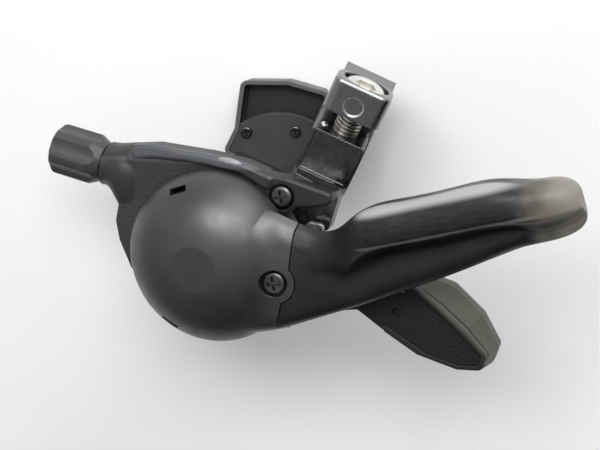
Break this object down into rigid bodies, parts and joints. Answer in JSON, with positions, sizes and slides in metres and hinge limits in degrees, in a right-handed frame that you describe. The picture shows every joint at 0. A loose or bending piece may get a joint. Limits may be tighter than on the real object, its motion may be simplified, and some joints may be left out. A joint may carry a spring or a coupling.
{
  "type": "trigger gear shifter",
  "caption": "Handlebar trigger gear shifter: domed pod on a hinged bar clamp, long thumb lever, lower release lever, cable barrel adjuster and a small gear indicator in front of the bar",
  "frame": {"origin": "centre of the handlebar clamp bore", "axes": "X along the handlebar toward the levers, Z toward the lever cap side, Y from the pod to the clamp bolt"},
  "size_m": [0.1025, 0.0706, 0.0686],
  "materials": {
    "body_plastic": "satin moulded charcoal with a fine grain",
    "case_plastic": "satin dark grey moulding",
    "cap_plastic": "smooth satin charcoal, faintly scuffed",
    "lever_plastic": "matte black, worn paler at the thumb pad",
    "release_plastic": "matte black with a fine texture",
    "clamp_paint": "gloss black over metal",
    "bolt_steel": "plated, slightly tarnished",
    "plate_steel": "stamped steel",
    "pin_steel": "turned steel",
    "spring_steel": "drawn wire",
    "drum_plastic": "smooth self-lubricating moulding",
    "knob_plastic": "satin dark grey, edges polished by use",
    "stem_metal": "machined",
    "window_clear": "clear",
    "dial_face": "pale printed face",
    "needle_paint": "bright pointer colour",
    "cover_plastic": "satin grey",
    "plug_rubber": "soft black"
  },
  "bodies": {
    "pod": {"bracket": "body_plastic", "clamp_band": "clamp_paint", "clamp_bolt": "bolt_steel", "bracket_screw": "bolt_steel", "base_plate": "plate_steel", "guide_plate": "plate_steel", "main_axle": "pin_steel", "axle_washer": "pin_steel", "axle_nut": "pin_steel", "release_pin": "pin_steel", "holding_pawl_pin": "pin_steel", "indicator_case": "case_plastic", "indicator_window": "window_clear", "indicator_dial": "dial_face", "needle_pin": "pin_steel", "indicator_back_plate": "cover_plastic", "indicator_screws": "bolt_steel", "cable_plug": "plug_rubber", "barrel_spring": "spring_steel", "drum_spring": "spring_steel", "release_spring": "spring_steel", "holding_pawl_spring": "spring_steel", "lever_spring": "spring_steel"},
    "main_lever": {"main_lever": "lever_plastic", "lever_cap": "cap_plastic", "lever_cap_screw": "bolt_steel", "lever_bush": "pin_steel", "drive_pawl_pin": "pin_steel", "drive_pawl_spring": "spring_steel"},
    "drive_pawl": {"drive_pawl": "plate_steel"},
    "release_lever": {"release_lever": "release_plastic"},
    "drum": {"cable_drum": "drum_plastic", "ratchet_ring": "plate_steel"},
    "holding_pawl": {"holding_pawl": "plate_steel"},
    "needle": {"indicator_needle": "needle_paint"},
    "barrel_knob": {"barrel_knob": "knob_plastic", "barrel_stem": "stem_metal"}
  },
  "joints": [
    {"name": "main_lever_swing", "type": "hinge", "parent": "pod", "child": "main_lever", "pos_m": [-0.0139, -0.0288, 0.0244], "axis": [-0.1942, 0, 0.981], "range_deg": [-40, 0], "stiffness_Nm_per_rad": 0.15, "springref_deg": 22.92, "deforming": ["lever_spring"]},
    {"name": "release_lever_swing", "type": "hinge", "parent": "pod", "child": "release_lever", "pos_m": [0.00013, -0.0288, 0.02718], "axis": [-0.1942, 0, 0.981], "range_deg": [-14, 0], "stiffness_Nm_per_rad": 0.06, "springref_deg": 22.92, "deforming": ["release_spring"]},
    {"name": "drum_turn", "type": "hinge", "parent": "pod", "child": "drum", "pos_m": [-0.0139, -0.0288, 0.0244], "axis": [-0.1942, 0, 0.981], "range_deg": [-115.2, 0], "stiffness_Nm_per_rad": 0.01, "springref_deg": 28.65, "deforming": ["drum_spring"]},
    {"name": "drive_pawl_swing", "type": "hinge", "parent": "main_lever", "child": "drive_pawl", "pos_m": [-0.01907, -0.01732, 0.0191], "axis": [-0.1942, 0, 0.981], "range_deg": [0, 10], "stiffness_Nm_per_rad": 0.002, "springref_deg": -17.19, "deforming": ["drive_pawl_spring"]},
    {"name": "holding_pawl_swing", "type": "hinge", "parent": "pod", "child": "holding_pawl", "pos_m": [-0.02366, -0.03607, 0.01819], "axis": [-0.1942, 0, 0.981], "range_deg": [-10, 0], "stiffness_Nm_per_rad": 0.002, "springref_deg": 17.19, "deforming": ["holding_pawl_spring"]},
    {"name": "needle_swing", "type": "hinge", "parent": "pod", "child": "needle", "pos_m": [-0.011, -0.017, -0.0165], "axis": [0, 0, 1], "range_deg": [-57.6, 0]},
    {"name": "barrel_turn", "type": "hinge", "parent": "pod", "child": "barrel_knob", "pos_m": [-0.05353, -0.02761, 0.00962], "axis": [-0.9577, -0.2164, -0.1896], "range_deg": [0, 1080]}
  ],
  "couplings": [
    {"joint": "needle_swing", "follows": "drum_turn", "ratio": 0.5}
  ]
}
